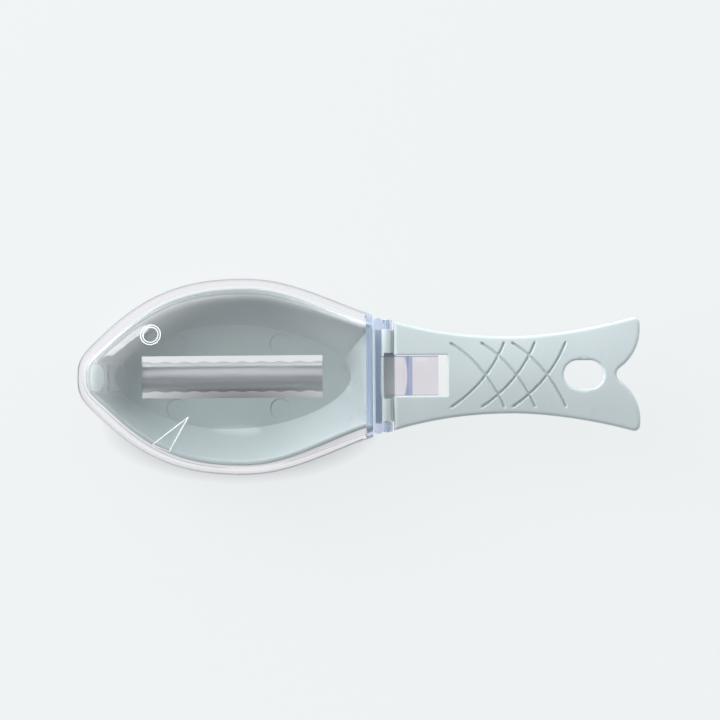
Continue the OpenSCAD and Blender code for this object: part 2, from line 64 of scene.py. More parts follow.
FLOOR_TOP = FLOOR_Z + FLOOR_T
HINGE_Z = RIM_Z + HINGE_RISE
SKIRT_Z = RIM_Z - SKIRT_DROP
HANDLE_TOP = HINGE_Z + KNUCKLE_D / 2 + HANDLE_RISE
EAR_R = EAR_D / 2
NECK_TOP = HINGE_Z - EAR_R - NECK_GAP
DOME_END = HINGE_X - DOME_BACK
WEB_X = HINGE_X - WEB_BACK - WEB_T
WINDOW_H = LEVER_W / 2 + LEVER_GAP
HANDLE_X = HINGE_X + EAR_R + HANDLE_GAP
LEVER_X = WINDOW_X - TIP_GAP
HOLE_X = LENGTH - HOLE_BACK
STEP_X = HINGE_X + STEP_FRONT


# Curves of the outline
def bez(p, t):
    p = np.asarray(p, float)
    t = np.asarray(t, float)[..., None]
    return (1 - t) ** 3 * p[0] + 3 * (1 - t) ** 2 * t * p[1] + 3 * (1 - t) * t * t * p[2] + t ** 3 * p[3]


def bez_dir(p, t):
    p = np.asarray(p, float)
    t = np.asarray(t, float)[..., None]
    return 3 * (1 - t) ** 2 * (p[1] - p[0]) + 6 * (1 - t) * t * (p[2] - p[1]) + 3 * t * t * (p[3] - p[2])


HALF_W, WAIST_H, TAIL_H, BLANK_X = HEAD_W / 2, WAIST_W / 2, TAIL_W / 2, LENGTH + 1
cheek = np.array(CHEEK)
cheek_dir = np.array([math.cos(CHEEK_ANGLE), math.sin(CHEEK_ANGLE)])
NOSE = [(0, 0), (0, NOSE_FULL), cheek - CHEEK_FULL * cheek_dir, cheek]
FLANK = [cheek, cheek + FLANK_FULL * cheek_dir, (HEAD_X - WIDEST_FULL, HALF_W), (HEAD_X, HALF_W)]
BACK = [(HEAD_X, HALF_W), (HEAD_X + SHOULDER_FULL, HALF_W), (WAIST_X - NECK_FULL, WAIST_H), (WAIST_X, WAIST_H)]
TAIL = [(WAIST_X, WAIST_H), (WAIST_X + TAIL_FULL, WAIST_H), (BLANK_X - FLARE[0], TAIL_H - FLARE[1]),
    (BLANK_X, TAIL_H)]
FLOOR_MID, FLOOR_H = HEAD_X - 6, FLOOR_W / 2
FLOOR_NOSE_FULL, FLOOR_FRONT_FULL, FLOOR_REAR_FULL, FLOOR_END_FULL = 7.5, 24, 26, 9
FLOOR_FRONT = [(FLOOR_FRONT_X, 0), (FLOOR_FRONT_X, FLOOR_NOSE_FULL), (FLOOR_MID - FLOOR_FRONT_FULL, FLOOR_H),
    (FLOOR_MID, FLOOR_H)]
FLOOR_REAR = [(FLOOR_MID, FLOOR_H), (FLOOR_MID + FLOOR_REAR_FULL, FLOOR_H), (FLOOR_BACK_X, FLOOR_END_FULL),
    (FLOOR_BACK_X, 0)]
OUTLINE = np.concatenate([bez(c, np.linspace(0, 1, 600)) for c in (NOSE, FLANK, BACK, TAIL)])

# Places along the head's outline, from 0 at the nose
AT_CHEEK, AT_WIDEST, AT_END, AT_AXIS = 6, 15, 27, 30.5


def half_at(x):
    return np.interp(x, OUTLINE[:, 0], OUTLINE[:, 1])


def curve_t(p, x):
    t = np.linspace(0, 1, 2001)
    return float(np.interp(x, bez(p, t)[:, 0], t))


def smooth(t):
    t = np.clip(t, 0, 1)
    return t * t * (3 - 2 * t)


def normals(d):
    d = d / np.linalg.norm(d, axis=-1, keepdims=True)
    return np.stack([-d[..., 1], d[..., 0]], -1)


def outline_at(u, x_end, gap_front, gap_back):
    """Points of the head's outline at places from 0 at the nose to AT_END at x_end, drawn in by a gap."""
    u = np.asarray(u, float)
    parts = ((NOSE, 0, AT_CHEEK, 1), (FLANK, AT_CHEEK, AT_WIDEST, 1),
        (BACK, AT_WIDEST, AT_END, curve_t(BACK, x_end)))
    at, out = np.zeros((len(u), 2)), np.zeros((len(u), 2))
    for curve, first, last, reach in parts:
        m = (u >= first) & ((u < last) | (last == AT_END))
        t = reach * (u[m] - first) / (last - first)
        at[m], out[m] = bez(curve, t), normals(bez_dir(curve, t))
    gap = gap_front + (gap_back - gap_front) * smooth((at[:, 0] - HEAD_X) / (x_end - HEAD_X))
    p = at - gap[:, None] * out
    if u[-1] == AT_END:
        p[-1] = [x_end, half_at(x_end) - gap_back]
    return p


EAR_T, EAR_INSET = 3.6, 0.45
EAR_OUT = float(half_at(HINGE_X)) - EAR_INSET
KNUCKLE_OUT = EAR_OUT - EAR_T - SIDE_GAP


# Meshes are made in millimetres and turned to metres at the end
def linked(name, data):
    o = bpy.data.objects.new(name, data)
    bpy.context.scene.collection.objects.link(o)
    return o


def obj_from(name, verts, faces):
    me = bpy.data.meshes.new(name)
    me.from_pydata([tuple(map(float, v)) for v in verts], [], faces)
    me.validate()
    return linked(name, me)


def from_bm(name, bm):
    bmesh.ops.recalc_face_normals(bm, faces=bm.faces)
    me = bpy.data.meshes.new(name)
    bm.to_mesh(me)
    bm.free()
    return linked(name, me)


def solid(name, verts, faces):
    """A closed mesh with its faces turned outwards."""
    o = obj_from(name, verts, faces)
    bm = bmesh.new()
    bm.from_mesh(o.data)
    bmesh.ops.recalc_face_normals(bm, faces=bm.faces)
    bm.to_mesh(o.data)
    bm.free()
    return o


def bevelled(bm, r, segments=3, angle=40):
    if r:
        edges = [e for e in bm.edges if len(e.link_faces) == 2 and e.calc_face_angle(0) > math.radians(angle)]
        bmesh.ops.bevel(bm, geom=edges, offset=r, segments=segments, profile=0.5, affect="EDGES",
            clamp_overlap=True)


def rings(name, loops):
    """A solid through closed loops of equally many points, with a flat cap on the first and the last."""
    n = len(loops[0])
    last = (len(loops) - 1) * n
    faces = [tuple(range(n))[::-1]]
    for first in range(0, last, n):
        for i in range(n):
            a, b = first + i, first + (i + 1) % n
            faces.append((a, b, b + n, a + n))
    faces.append(tuple(range(last, last + n)))
    return solid(name, np.concatenate(loops), faces)


def prism(name, points, lo, hi, axis="Y", r=0.0, segments=3):
    """A polygon drawn out along X (points are Y, Z), Y (X, Z) or Z (X, Y), with rounded edges."""
    bm = bmesh.new()
    at = "XYZ".index(axis)
    a, b = ([bm.verts.new([*p[:at], v, *p[at:]]) for p in points] for v in (lo, hi))
    bm.faces.new(a)
    bm.faces.new(b[::-1])
    for i in range(len(points)):
        j = (i + 1) % len(points)
        bm.faces.new((a[j], a[i], b[i], b[j]))
    bmesh.ops.recalc_face_normals(bm, faces=bm.faces)
    bevelled(bm, r, segments)
    return from_bm(name, bm)


def block(name, lo, hi, r=0.0, segments=3):
    plan = [(lo[0], lo[1]), (hi[0], lo[1]), (hi[0], hi[1]), (lo[0], hi[1])]
    return prism(name, plan, lo[2], hi[2], "Z", r, segments)


def upright_to(axis):
    return Vector((0, 0, 1)).rotation_difference(Vector(axis)).to_matrix().to_4x4()


def rod(name, centre, axis, radius, height, r=0.0, n=96):
    bm = bmesh.new()
    bmesh.ops.create_cone(bm, cap_ends=True, segments=n, radius1=radius, radius2=radius, depth=height)
    bevelled(bm, r, 3)
    bmesh.ops.transform(bm, matrix=Matrix.Translation(centre) @ upright_to(axis), verts=bm.verts)
    return from_bm(name, bm)


def combine(target, how, *others):
    """target with the others joined to it, cut from it, or kept where they meet it."""
    for other in others:
        mod = target.modifiers.new("combine", "BOOLEAN")
        mod.operation, mod.solver, mod.object = how, "MANIFOLD", other
        made = bpy.data.meshes.new_from_object(target.evaluated_get(bpy.context.evaluated_depsgraph_get()))
        assert len(made.polygons), f"{target.name} {how} {other.name} left nothing"
        target.modifiers.clear()
        target.data = made
        bpy.data.objects.remove(other)
    return target


def finished(o, body, node, slot, angle=30, look_of=None, shades=True):
    """Turns a piece to metres, gives it its material, shades it smooth, hangs it on its body and hides the CAD node
    that it stands for.
    """
    o.data.transform(Matrix.Translation((-LENGTH / 2000, 0, 0)) @ Matrix.Scale(0.001, 4))
    o.data.materials.clear()
    o.data.materials.append(MATERIALS[look_of or slot])
    o.visible_shadow = o.visible_diffuse = shades
    o.data.shade_smooth()
    o.data.set_sharp_from_angle(angle=math.radians(angle))
    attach(o, body)
    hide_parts(node)
    return o


# Materials
def new_material(name, **values):
    m = bpy.data.materials.new(name)
    m.use_nodes = True
    p = m.node_tree.nodes["Principled BSDF"]
    for k, v in values.items():
        p.inputs[k.replace("_", " ")].default_value = v
    return m, m.node_tree, p


def node(t, kind, **values):
    n = t.nodes.new(kind)
    for k, v in values.items():
        if k in n.inputs:
            n.inputs[k].default_value = v
        else:
            setattr(n, k, v)
    return n


def coords(t, kind):
    return node(t, "ShaderNodeTexCoord").outputs[kind]


def maths(t, operation, *values):
    """A sum, product or the like of numbers and other nodes' results."""
    m = node(t, "ShaderNodeMath", operation=operation)
    for k, v in enumerate(values):
        if isinstance(v, float):
            m.inputs[k].default_value = v
        else:
            t.links.new(v, m.inputs[k])
    return m.outputs["Value"]


def vectors(t, operation, vector, value, result="Vector"):
    n = node(t, "ShaderNodeVectorMath", operation=operation)
    t.links.new(vector, n.inputs[0])
    n.inputs[1].default_value = value
    return n.outputs[result]


def split(t, vector):
    xyz = node(t, "ShaderNodeSeparateXYZ")
    t.links.new(vector, xyz.inputs["Vector"])
    return {axis: xyz.outputs[axis] for axis in "XYZ"}


def noise(t, scale, detail=3.0, stretch=(1, 1, 1)):
    mapping = node(t, "ShaderNodeMapping", Scale=stretch)
    n = node(t, "ShaderNodeTexNoise", Scale=scale, Detail=detail)
    t.links.new(coords(t, "Object"), mapping.inputs["Vector"])
    t.links.new(mapping.outputs["Vector"], n.inputs["Vector"])
    return n.outputs["Fac"]


def ramp(t, source, low, high, at_low=0.3, at_high=0.7, how="LINEAR"):
    """low where the source is at_low, high where it is at_high, and a mixture between the two."""
    r = node(t, "ShaderNodeMapRange", interpolation_type=how)
    for k, v in {"From Min": at_low, "From Max": at_high, "To Min": low, "To Max": high}.items():
        r.inputs[k].default_value = v
    t.links.new(source, r.inputs["Value"])
    return r.outputs["Result"]


def mixed(t, factor, a, b):
    tint = node(t, "ShaderNodeMix", data_type="RGBA")
    tint.inputs["A"].default_value, tint.inputs["B"].default_value = a, b
    t.links.new(factor, tint.inputs["Factor"])
    return tint.outputs["Result"]


def bump(t, p, height, strength, distance, under=None):
    b = node(t, "ShaderNodeBump", Strength=strength, Distance=distance)
    t.links.new(height, b.inputs["Height"])
    if under:
        t.links.new(under, b.inputs["Normal"])
    t.links.new(b.outputs["Normal"], p.inputs["Normal"])


def moulded():
    m, t, p = new_material("moulded_plastic", IOR=1.5, Specular_IOR_Level=0.36)
    tint = mixed(t, ramp(t, noise(t, 38, 2), 0, 1), (0.485, 0.545, 0.558, 1), (0.510, 0.572, 0.585, 1))
    t.links.new(tint, p.inputs["Base Color"])
    t.links.new(ramp(t, noise(t, 160, 3), 0.27, 0.36), p.inputs["Roughness"])
    edge = node(t, "ShaderNodeBevel", Radius=0.0002)
    bump(t, p, noise(t, 2600, 2), 0.22, 0.00003, edge.outputs["Normal"])
    return m


# Painted shade on the clear lever: a darker band painted in the fillet of its step, where the curved step darkens
# the view through it, and darker sides painted where the gap beside the lever lies in shade
STEP_SHADE_FROM, STEP_SHADE_TO, STEP_SHADE_FADE, STEP_SHADE_BOW = 1.1, 3.6, 0.0005, 20.0
LEFT_SIDE_SHADE, RIGHT_SIDE_SHADE = (0, 0.9, 0.0069, 0.0072), (0.6, 0, -0.0074, -0.0071)


def painted_step_shade(t, glass, step_shade_colour):
    """The glass with painted shade: a deeper tint painted in the fillet of the lever's step, narrower in the middle
    of its width, and painted along the lever's sides.
    """
    at = split(t, coords(t, "Object"))
    bent = maths(t, "MULTIPLY_ADD", maths(t, "MULTIPLY", at["Y"], at["Y"]), STEP_SHADE_BOW, at["X"])
    start, end = ((STEP_X + off - LENGTH / 2) / 1000 for off in (STEP_SHADE_FROM, STEP_SHADE_TO))
    across = maths(t, "MULTIPLY", ramp(t, bent, 0, 1, start, start + STEP_SHADE_FADE),
        ramp(t, at["X"], 1, 0, end - STEP_SHADE_FADE, end))
    side_shade = maths(t, "MAXIMUM", ramp(t, at["Y"], *LEFT_SIDE_SHADE), ramp(t, at["Y"], *RIGHT_SIDE_SHADE))
    return mixed(t, maths(t, "MAXIMUM", across, side_shade), glass, step_shade_colour)


def clear(name, glass, colour, density, ripple, passed, step_shade_colour=None):
    """Clear plastic. The light that makes shadows and lights what lies behind passes straight through."""
    m, t, p = new_material(name, Base_Color=glass, Transmission_Weight=1.0, IOR=1.5)
    # Painted shade: where a colour for it is given, the lever's step and sides get a deeper tint
    if step_shade_colour:
        t.links.new(painted_step_shade(t, glass, step_shade_colour), p.inputs["Base Color"])
    t.links.new(ramp(t, noise(t, 90, 2), 0.01, 0.035), p.inputs["Roughness"])
    bump(t, p, noise(t, 55, 1), ripple, 0.0001)
    shade = node(t, "ShaderNodeBsdfTransparent", Color=passed)
    light = node(t, "ShaderNodeLightPath")
    mix = node(t, "ShaderNodeMixShader")
    through = maths(t, "MAXIMUM", light.outputs["Is Shadow Ray"], light.outputs["Is Diffuse Ray"])
    t.links.new(through, mix.inputs["Fac"])
    t.links.new(p.outputs["BSDF"], mix.inputs[1])
    t.links.new(shade.outputs["BSDF"], mix.inputs[2])
    out = t.nodes["Material Output"]
    t.links.new(mix.outputs["Shader"], out.inputs["Surface"])
    tint = node(t, "ShaderNodeVolumeAbsorption", Color=colour, Density=density)
    t.links.new(tint.outputs["Volume"], out.inputs["Volume"])
    return m


def clear_with_painted_highlight(name, colour):
    """The crisp raised lines of the clear lid, partly opaque and pale: a painted highlight, standing in for the
    light that gathers in their rounded edges.
    """
    m, t, p = new_material(name, Base_Color=colour, Transmission_Weight=0.35, IOR=1.5)
    t.links.new(ramp(t, noise(t, 900, 2), 0.1, 0.22), p.inputs["Roughness"])
    return m


def steel():
    m, t, p = new_material("brushed_steel", Base_Color=(0.60, 0.62, 0.63, 1), Metallic=1.0)
    t.links.new(ramp(t, noise(t, 900, 3, (0.03, 1, 1)), 0.36, 0.44), p.inputs["Roughness"])
    bump(t, p, noise(t, 2200, 3, (0.02, 1, 1)), 0.03, 0.00002)
    return m


MATERIALS = {
    "moulding": moulded(),
    "clear": clear("clear_plastic", glass=(0.99, 0.99, 1.0, 1), colour=(0.9, 0.65, 0.85, 1), density=20.0,
        ripple=0.1, passed=(0.815, 0.84, 0.825, 1)),
    "clear_thick": clear("clear_plastic_thick", glass=(0.74, 0.80, 0.96, 1), colour=(0.46, 0.5, 0.84, 1),
        density=30.0, ripple=0.15, passed=(0.98, 0.98, 0.99, 1)),
    # The lever's material paints shade into the fillet of its step and along its sides
    "clear_lever": clear("clear_plastic_lever", glass=(0.88, 0.83, 0.87, 1), colour=(0.8, 0.7, 0.85, 1),
        density=15.0, ripple=0.15, passed=(0.97, 0.97, 0.98, 1), step_shade_colour=(0.42, 0.47, 0.68, 1)),
    # The lid's raised lines and the rib are partly opaque and pale, a painted highlight
    "clear_with_painted_highlight": clear_with_painted_highlight("clear_plastic_edge", (0.97, 0.98, 1.0, 1)),
    "clear_rib": clear_with_painted_highlight("clear_plastic_rib", (0.72, 0.80, 0.86, 1)),
    "steel": steel(),
}

# The bowl, with its floor, slot, blade sockets and nose shelf
BULGE, RIM_R, FLOOR_OUT, PER_UNIT = (0.68, 0.36), 0.95, 1.5, 6
SOCKET_SIDE, SOCKET_LOW, SOCKET_TOP, SOCKET_PAST, SOCKET_EDGE = 1.4, 0.9, 4.3, 2, 0.35
SHELF_EDGE, SHELF_ROOM = 0.3, 4
SLOT_LOW, SLOT_HIGH = -1, 17
MARK_FRONT, MARK_BACK, MARK_GAP, MARK_Z, MARK_H = 13.5, 16.2, 0.3, 0.4, 1.2
TAIL_LAP, TAIL_LOW, HOLLOW_LOW, HOLLOW_GAP = 1, 1.9, 1.85, 0.05
TAIL_STARTS = (SLOT_X - BLADE_TAIL, SLOT_X + SLOT_L - TAIL_LAP)
u_side = np.linspace(0, AT_AXIS, int(AT_AXIS * PER_UNIT) + 1)[:-1]


def floor_loop(out_by):
    m = u_side < AT_WIDEST
    t = np.where(m, u_side / AT_WIDEST, (u_side - AT_WIDEST) / (AT_AXIS - AT_WIDEST))
    p = np.where(m[:, None], bez(FLOOR_FRONT, t), bez(FLOOR_REAR, t))
    d = np.where(m[:, None], bez_dir(FLOOR_FRONT, t), bez_dir(FLOOR_REAR, t))
    return p + out_by * normals(d)


def rim_loop(in_by):
    x_end = DOME_END - in_by
    back_gap = OVERHANG + 1 + in_by
    on_curve = u_side < AT_END
    p = np.zeros((len(u_side), 2))
    p[on_curve] = outline_at(u_side[on_curve], x_end, OVERHANG + in_by, back_gap)
    p[~on_curve, 0] = x_end
    p[~on_curve, 1] = (half_at(x_end) - back_gap) * (1 - (u_side[~on_curve] - AT_END) / (AT_AXIS - AT_END))
    return p


def whole(side):
    """Both sides of a loop that starts at the nose on the axis."""
    return np.concatenate([side, (side * [1, -1])[:0:-1]])


def level(p, z):
    return np.column_stack([p, np.full(len(p), z)])


def ring(low, high, z_low, z_high, t):
    """A loop part of the way from low to high, on a side that bulges outwards."""
    g = 2 * t * (1 - t) * BULGE[0] + t * t
    s = 2 * t * (1 - t) * BULGE[1] + t * t
    return level(whole(low + (high - low) * g), z_low + (z_high - z_low) * s)


def rim_level(in_by, z):
    return level(whole(rim_loop(in_by)), z)


def make_bowl():
    steps = np.linspace(0, 1, 21)
    top = RIM_Z - RIM_R
    loops = [ring(floor_loop(FLOOR_OUT), rim_loop(0), FLOOR_Z, top, t) for t in steps]
    for a in np.linspace(0, math.pi / 2, 5)[1:]:
        loops.append(rim_level(RIM_R * (1 - math.cos(a)), top + RIM_R * math.sin(a)))
    for a in np.linspace(math.pi / 2, 0, 5)[:-1]:
        loops.append(rim_level(WALL - RIM_R * (1 - math.cos(a)), top + RIM_R * math.sin(a)))
    loops += [ring(floor_loop(0), rim_loop(WALL), FLOOR_TOP, top, t) for t in steps[::-1]]
    bowl = rings("bowl", loops)
    half = BLADE_W / 2 + SOCKET_SIDE
    sockets = [block("socket", (x, -half, SOCKET_LOW), (x + BLADE_TAIL + SOCKET_PAST, half, SOCKET_TOP), SOCKET_EDGE)
        for x in (SLOT_X - BLADE_TAIL - SOCKET_PAST, SLOT_X + SLOT_L)]
    round_plan = [(SHELF_X + SHELF_R * math.cos(a), SHELF_R * math.sin(a))
        for a in np.linspace(0, 2 * math.pi, 65)[:-1]]
    shelf = prism("shelf", round_plan, RIM_Z - SHELF_T, RIM_Z, "Z", SHELF_EDGE)
    inside = rings("inside", [rim_level(WALL / 2, RIM_Z - SHELF_ROOM), rim_level(WALL / 2, RIM_Z + SHELF_ROOM)])
    shelf = combine(shelf, "INTERSECT", inside)
    combine(bowl, "UNION", *sockets, shelf)
    slot = block("slot", (SLOT_X, -SLOT_W / 2, SLOT_LOW), (SLOT_X + SLOT_L, SLOT_W / 2, SLOT_HIGH))
    combine(bowl, "DIFFERENCE", slot)
    mark_y = (SLOT_W + MARK_D) / 2 + MARK_GAP
    for x in (SLOT_X + MARK_FRONT, SLOT_X + SLOT_L - MARK_BACK):
        for s in (-1, 1):
            mark = rod("mark", (x, s * mark_y, FLOOR_TOP + MARK_Z), (0, 0, 1), MARK_D / 2, MARK_H)
            combine(bowl, "DIFFERENCE", mark)
    for x in TAIL_STARTS:
        combine(bowl, "DIFFERENCE", arch("hollow", x, BLADE_TAIL + TAIL_LAP, HOLLOW_LOW, HOLLOW_GAP))
    return bowl


# The blade, an arch of steel with scalloped edges
TOOTH_FLAT = 1.6


def arch(name, x, length, low, gap):
    """A length of the blade's arch down to a height, or of the hollow that leaves a gap round it."""
    w, t = BLADE_W + 2 * gap, BLADE_T + 2 * gap
    r = (w * w / 4 + BLADE_H * BLADE_H) / (2 * BLADE_H)
    cz = BLADE_H - r + gap

    def arc(radius):
        a = math.acos(min(1, max(-1, (low - cz) / radius)))
        return [(radius * math.sin(v), cz + radius * math.cos(v)) for v in np.linspace(-a, a, 65)]

    return prism(name, arc(r) + arc(r - t)[::-1], x, x + length, "X")


def make_blade():
    blade = arch("blade_steel", SLOT_X, SLOT_L, 0, 0)
    w = TOOTH_PITCH - TOOTH_FLAT
    r = (w * w / 4 + SCALLOP * SCALLOP) / (2 * SCALLOP)
    n = int((SLOT_L - 1) // TOOTH_PITCH)
    start = SLOT_X + (SLOT_L - n * TOOTH_PITCH) / 2
    for i in range(n):
        scallop = rod("scallop", (start + (i + 0.5) * TOOTH_PITCH, 0, SCALLOP - r), (0, 1, 0), r, 30)
        combine(blade, "DIFFERENCE", scallop)
    tails = [arch("tail", x, BLADE_TAIL + TAIL_LAP, TAIL_LOW, 0) for x in TAIL_STARTS]
    return combine(blade, "UNION", *tails)


# The handle, a plate with rounded edges over a plan with a window, a hang hole and a forked tail
WINDOW_CORNER, WINDOW_EDGE, FRONT_EDGE, SIDE_EDGE, HOLE_EDGE = 0.5, 0.4, 1.5, 1.2, 0.95
GROOVE_D, GROOVE_W, GROOVE_SLOPE = 0.8, 0.68, 0.55
GROOVE_ROWS, ROW_PAST, ROW_STEP = (0, 0.13, 0.26, 0.39, 0.52, 0.68, 0.9), 0.02, 0.55
GRID, GRID_H, NEAR_EDGE, NEAR_POINT, PAST_EDGE = 1.1, 26, 0.1, 0.11, 0.8
CROWN_DROP, THINNEST = 1.2, 0.02
MIRROR = [1, -1]


def arc_points(centre, r, a0, a1, step=0.5):
    n = max(3, int(abs(a1 - a0) * r / step))
    a = np.linspace(a0, a1, n + 1)
    return np.column_stack([centre[0] + r * np.cos(a), centre[1] + r * np.sin(a)])


def spaced(points, step=0.5):
    points = np.asarray(points, float)
    d = np.concatenate([[0], np.cumsum(np.linalg.norm(np.diff(points, axis=0), axis=1))])
    s = np.linspace(0, d[-1], max(2, int(round(d[-1] / step)) + 1))
    return np.column_stack([np.interp(s, d, points[:, 0]), np.interp(s, d, points[:, 1])])


def side_and_tail():
    """The handle's upper side, and the tail's edge from the upper tip through the notch to the lower tip."""
    lobe = np.array([LENGTH - LOBE_R, LOBE_Y])
    notch_x = lobe[0] + math.sqrt((LOBE_R + NOTCH_R) ** 2 - lobe[1] ** 2)
    # The tip's circle touches the side and the lobe
    xs = np.linspace(lobe[0], LENGTH - TIP_R - 0.01, 4000)
    slope = half_at(xs + 0.5) - half_at(xs - 0.5)
    ys = LOBE_Y + np.sqrt(np.maximum(0, (LOBE_R - TIP_R) ** 2 - (xs - lobe[0]) ** 2))
    k = int(np.argmin(np.abs(half_at(xs) - TIP_R * np.hypot(1, slope) - ys)))
    tip = np.array([xs[k], ys[k]])
    ahead = math.atan2(tip[1] - lobe[1], tip[0] - lobe[0])
    beside = math.atan2(1, -slope[k])
    inner = math.atan2(-lobe[1], notch_x - lobe[0])
    t = np.linspace(0, 1, 400)
    side = np.concatenate([bez(BACK, t[t > curve_t(BACK, HANDLE_X)]), bez(TAIL, t)])
    side = side[side[:, 0] < tip[0] + TIP_R * math.cos(beside)]
    side = np.concatenate([[[HANDLE_X, float(half_at(HANDLE_X))]], side])
    corner = arc_points(tip, TIP_R, beside, ahead, 0.3)
    upper_lobe = arc_points(lobe, LOBE_R, ahead, inner)
    notch = arc_points((notch_x, 0), NOTCH_R, inner + math.pi, math.pi, 0.3)
    tail = np.concatenate([corner, upper_lobe[1:], notch[1:]])
    tail = np.concatenate([tail, (tail * MIRROR)[::-1][1:]])
    return spaced(np.concatenate([side, tail[:1]])), tail


def handle_edges():
    """The plan's edges as (points, radius of the rounding), each with the plan on its right."""
    upper, tail = side_and_tail()
    r, x = WINDOW_CORNER, WINDOW_X - WINDOW_CORNER
    low_corner = arc_points((x, -(WINDOW_H - r)), r, -math.pi / 2, 0, 0.25)
    high_corner = arc_points((x, WINDOW_H - r), r, 0, math.pi / 2, 0.25)
    window = np.concatenate([spaced([(HANDLE_X, -WINDOW_H), (x, -WINDOW_H)]), low_corner[1:],
        spaced([(WINDOW_X, r - WINDOW_H), (WINDOW_X, WINDOW_H - r)])[1:], high_corner[1:],
        spaced([(x, WINDOW_H), (HANDLE_X, WINDOW_H)])[1:]])
    front = spaced([(HANDLE_X, WINDOW_H), (HANDLE_X, upper[0][1])])
    straight = (HOLE_L - HOLE_W) / 2
    hole = np.concatenate([arc_points((HOLE_X + straight, 0), HOLE_W / 2, -math.pi / 2, math.pi / 2),
        arc_points((HOLE_X - straight, 0), HOLE_W / 2, math.pi / 2, 1.5 * math.pi)])
    outer = [(window, WINDOW_EDGE), (front, FRONT_EDGE), (upper, SIDE_EDGE), (tail, SIDE_EDGE),
        ((upper * MIRROR)[::-1], SIDE_EDGE), ((front * MIRROR)[::-1], FRONT_EDGE)]
    return outer, (hole, HOLE_EDGE)


def far_from(points, line, closed=False):
    """Distance of each point from a line of points."""
    a = line if closed else line[:-1]
    b = np.roll(line, -1, axis=0) if closed else line[1:]
    d = b - a
    keep = np.linalg.norm(d, axis=1) > 1e-9
    a, d = a[keep], d[keep]
    out = np.full(len(points), 1e9)
    for first in range(0, len(points), 2000):
        p = points[first:first + 2000, None, :]
        s = np.clip(((p - a) * d).sum(-1) / (d * d).sum(-1), 0, 1)
        out[first:first + 2000] = np.linalg.norm(p - (a + s[..., None] * d), axis=-1).min(1)
    return out


def inside_of(points, loop):
    x, y = points[:, 0], points[:, 1]
    hit = np.zeros(len(points), bool)
    for (x0, y0), (x1, y1) in zip(loop, np.roll(loop, -1, axis=0)):
        if y0 != y1:
            hit ^= ((y0 > y) != (y1 > y)) & (x < (x1 - x0) * (y - y0) / (y1 - y0) + x0)
    return hit


def grooves():
    """Each groove's centre, first and last angle, and side of the axis."""
    out = []
    for i in range(GROOVE_N):
        a = np.array([WINDOW_X + GROOVE_START + i * GROOVE_PITCH, GROOVE_SPAN / 2])
        b = a + [GROOVE_RUN, -GROOVE_SPAN]
        chord = np.linalg.norm(b - a)
        toward = (b - a) / chord
        middle = (a + b) / 2 - math.sqrt(GROOVE_R ** 2 - chord ** 2 / 4) * np.array([-toward[1], toward[0]])
        first, last = (math.atan2(end[1] - middle[1], end[0] - middle[0]) for end in (b, a))
        out += [(middle, first, last, side) for side in (1, -1)]
    return out


def groove_depth(points):
    deep = np.zeros(len(points))
    for middle, first, last, side in grooves():
        d = far_from(points * [1, side], arc_points(middle, GROOVE_R, first, last, 0.5))
        deep = np.maximum(deep, GROOVE_D * smooth((GROOVE_W - d) / GROOVE_SLOPE))
    return deep


def inner_points(outer, hole, loop, hole_loop):
    """Points on the plan: rows along its edges and grooves, and a grid over the rest."""
    points = []
    for line, r in outer + [hole]:
        inward = -normals(np.gradient(line, axis=0))
        points += [line + r * (1 - math.cos(a)) * inward for a in np.linspace(0, math.pi / 2, 7)[1:]]
        points.append(line + (r + PAST_EDGE) * inward)
    for middle, first, last, side in grooves():
        for off in GROOVE_ROWS:
            for sign in ((-1, 1) if off else (1,)):
                row = arc_points(middle, GROOVE_R + sign * off, first - ROW_PAST, last + ROW_PAST, ROW_STEP)
                points.append(row * [1, side])
    x, y = np.meshgrid(np.arange(HANDLE_X, LENGTH, GRID), np.arange(-GRID_H, GRID_H, GRID))
    x[1::2] += GRID / 2
    grid = np.column_stack([x.ravel(), y.ravel()])
    points = np.concatenate(points + [grid[groove_depth(grid) == 0]])
    points = points[inside_of(points, loop) & ~inside_of(points, hole_loop)]
    # Rows that cross an edge at a corner are dropped, and so are points that nearly meet
    for line in (np.concatenate([p for p, _ in outer]), hole[0]):
        points = points[far_from(points, line) > NEAR_EDGE]
    seen, kept = set(), []
    for p in points:
        key = (int(p[0] / NEAR_POINT), int(p[1] / NEAR_POINT))
        if key not in seen:
            seen.add(key)
            kept.append(p)
    return np.array(kept)


